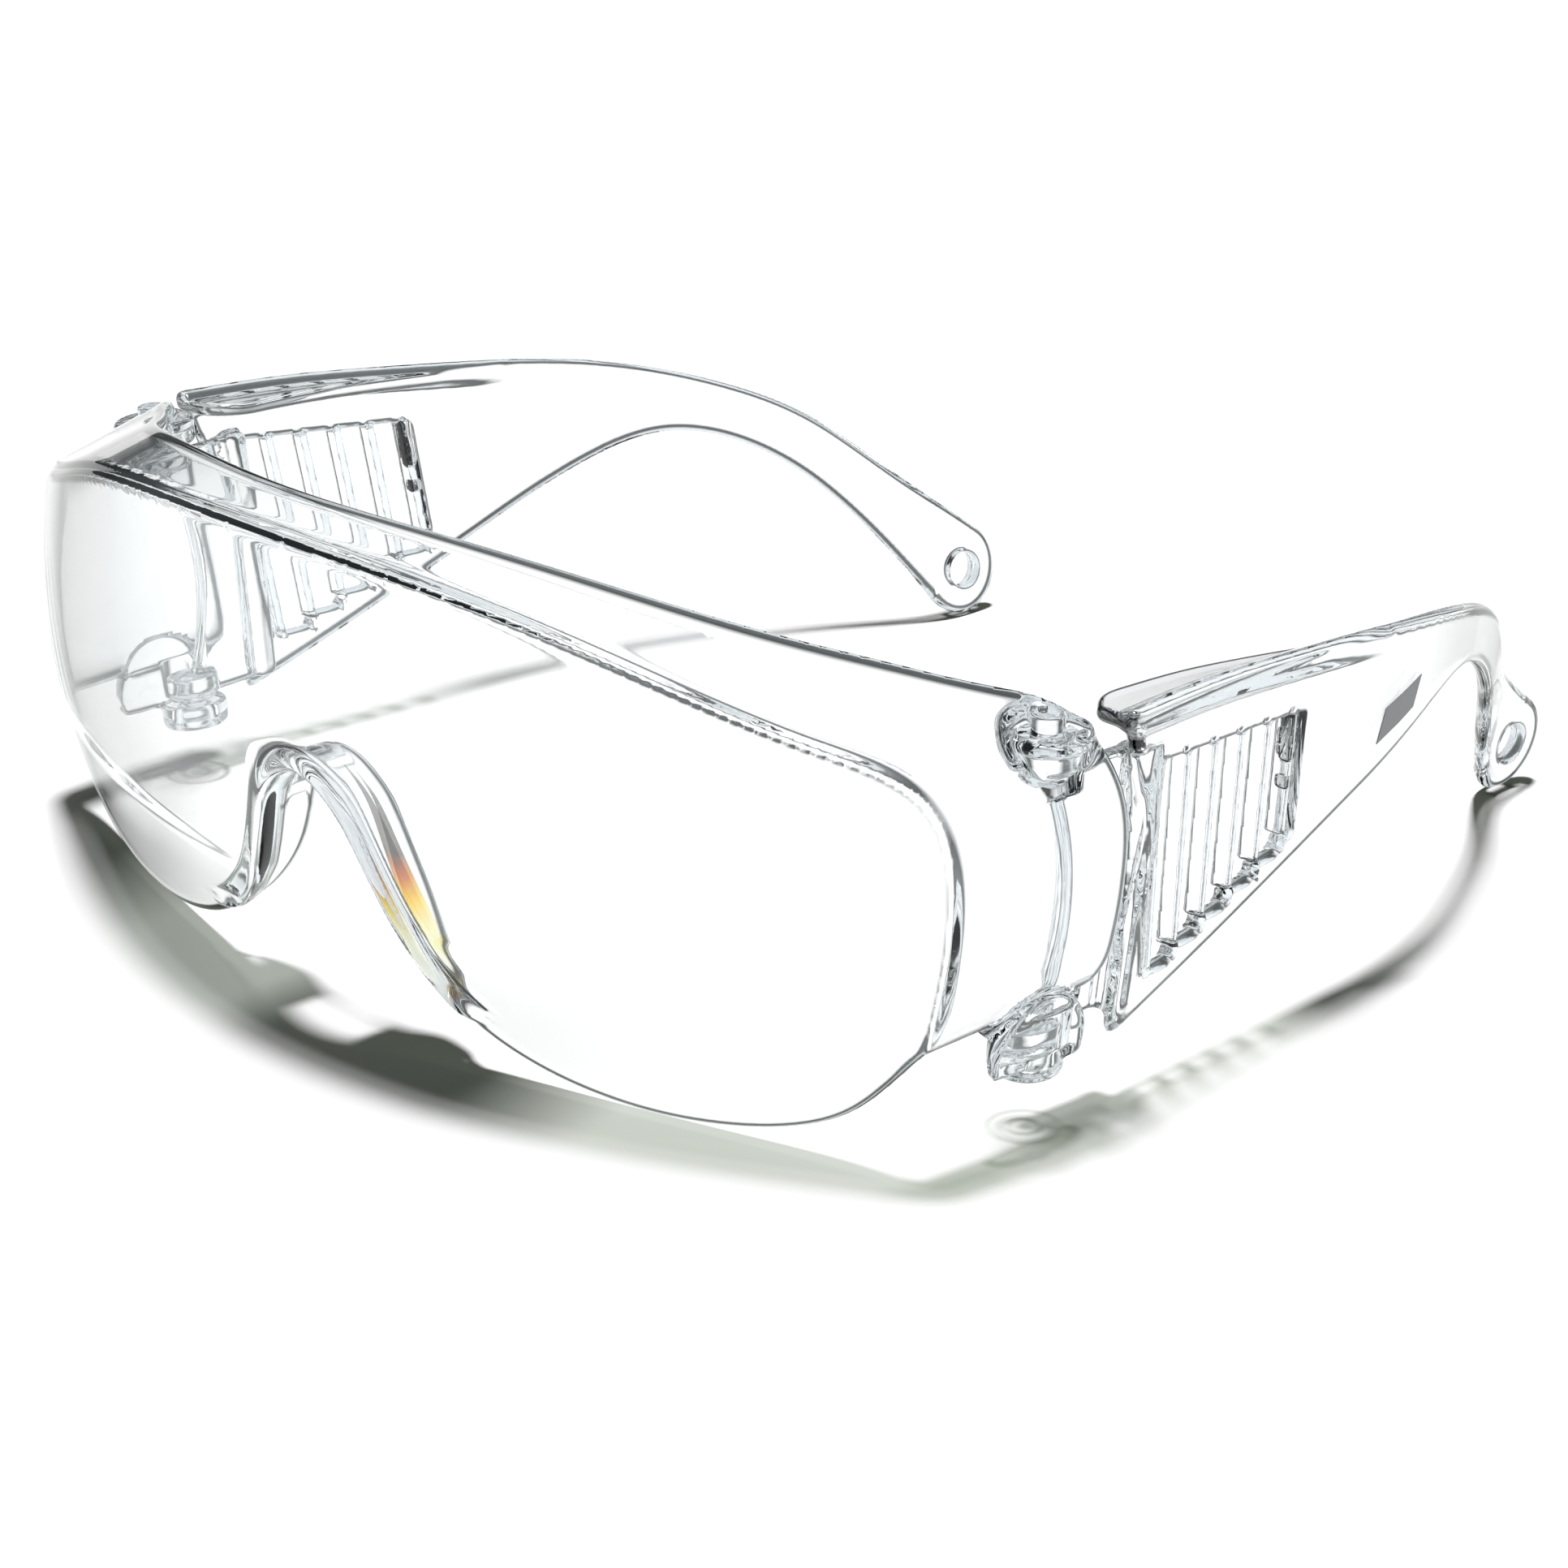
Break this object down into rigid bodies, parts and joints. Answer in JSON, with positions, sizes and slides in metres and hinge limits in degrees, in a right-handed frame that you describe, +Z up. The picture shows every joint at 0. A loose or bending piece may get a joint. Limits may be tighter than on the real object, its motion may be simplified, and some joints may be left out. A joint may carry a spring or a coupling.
{
  "type": "safety glasses",
  "caption": "Clear over-spectacle safety glasses: wrap-around lens shield with brow ledge and side wings, and vented temples that fold on pegs.",
  "frame": {"origin": "middle of the open glasses' footprint, on the table that the two lens lobes and the two temple tips stand on", "axes": "+X to the wearer's left, +Y back towards the ears, +Z up; the glasses look along -Y"},
  "size_m": [0.1564, 0.158, 0.0591],
  "materials": {
    "clear_shield": "gloss",
    "clear_temple": "gloss",
    "print_ink": "matte"
  },
  "bodies": {
    "shield": {"lens_shield": "clear_shield"},
    "temple_left": {"temple_left": "clear_temple", "print_mark": "print_ink"},
    "temple_right": {"temple_right": "clear_temple"}
  },
  "joints": [
    {"name": "fold_left", "type": "hinge", "parent": "shield", "child": "temple_left", "pos_m": [0.0694, -0.03645, 0.0088], "axis": [0.092, -0.046, 0.9947], "range_deg": [0, 86]},
    {"name": "fold_right", "type": "hinge", "parent": "shield", "child": "temple_right", "pos_m": [-0.0694, -0.03645, 0.0088], "axis": [0.092, 0.046, -0.9947], "range_deg": [0, 72]}
  ]
}
